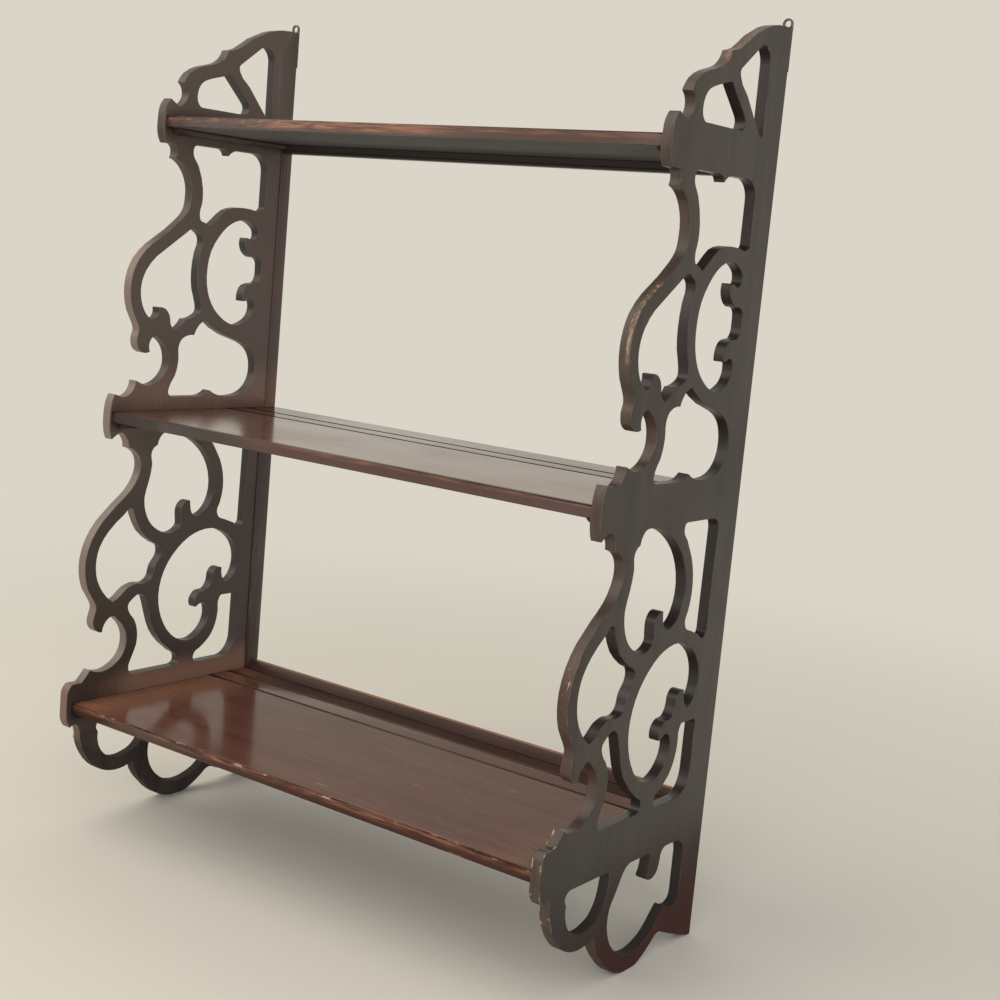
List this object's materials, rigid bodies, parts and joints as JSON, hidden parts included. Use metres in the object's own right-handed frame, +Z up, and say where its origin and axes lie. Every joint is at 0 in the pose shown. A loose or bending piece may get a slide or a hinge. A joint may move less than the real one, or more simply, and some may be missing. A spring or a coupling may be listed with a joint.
{
  "type": "wall plate rack",
  "caption": "Hanging wall rack for plates: fret-cut sides with scrolled fronts carry graduated shelves with plate grooves, back rails, rim strips, cleats and hanging eyes.",
  "frame": {"origin": "centre of the bounding box's bottom face, level with the feet of the sides", "axes": "+Z up, -Y towards the room, +Y towards the wall, +X to the right of someone who faces the rack"},
  "size_m": [0.556, 0.25, 0.7808],
  "materials": {
    "mahogany": "old dark French polish, worn to red-brown and orange along the edges",
    "mahogany_sides": "old dark French polish with a soft sheen on the cut walls",
    "hanger_brass": "dull, darkened brass",
    "steel_fixings": "dull steel"
  },
  "bodies": {
    "root": {"left_side": "mahogany_sides", "right_side": "mahogany_sides", "top_shelf": "mahogany", "middle_shelf": "mahogany", "bottom_shelf": "mahogany", "top_back_rail": "mahogany", "bottom_back_rail": "mahogany", "upper_left_strip": "mahogany", "upper_right_strip": "mahogany", "lower_left_strip": "mahogany", "lower_right_strip": "mahogany", "top_left_cleat": "mahogany", "top_right_cleat": "mahogany", "middle_left_cleat": "mahogany", "middle_right_cleat": "mahogany", "bottom_left_cleat": "mahogany", "bottom_right_cleat": "mahogany", "left_hanger": "hanger_brass", "right_hanger": "hanger_brass", "hanger_screws": "steel_fixings", "cleat_pins": "steel_fixings", "rail_pins": "steel_fixings"}
  },
  "joints": []
}
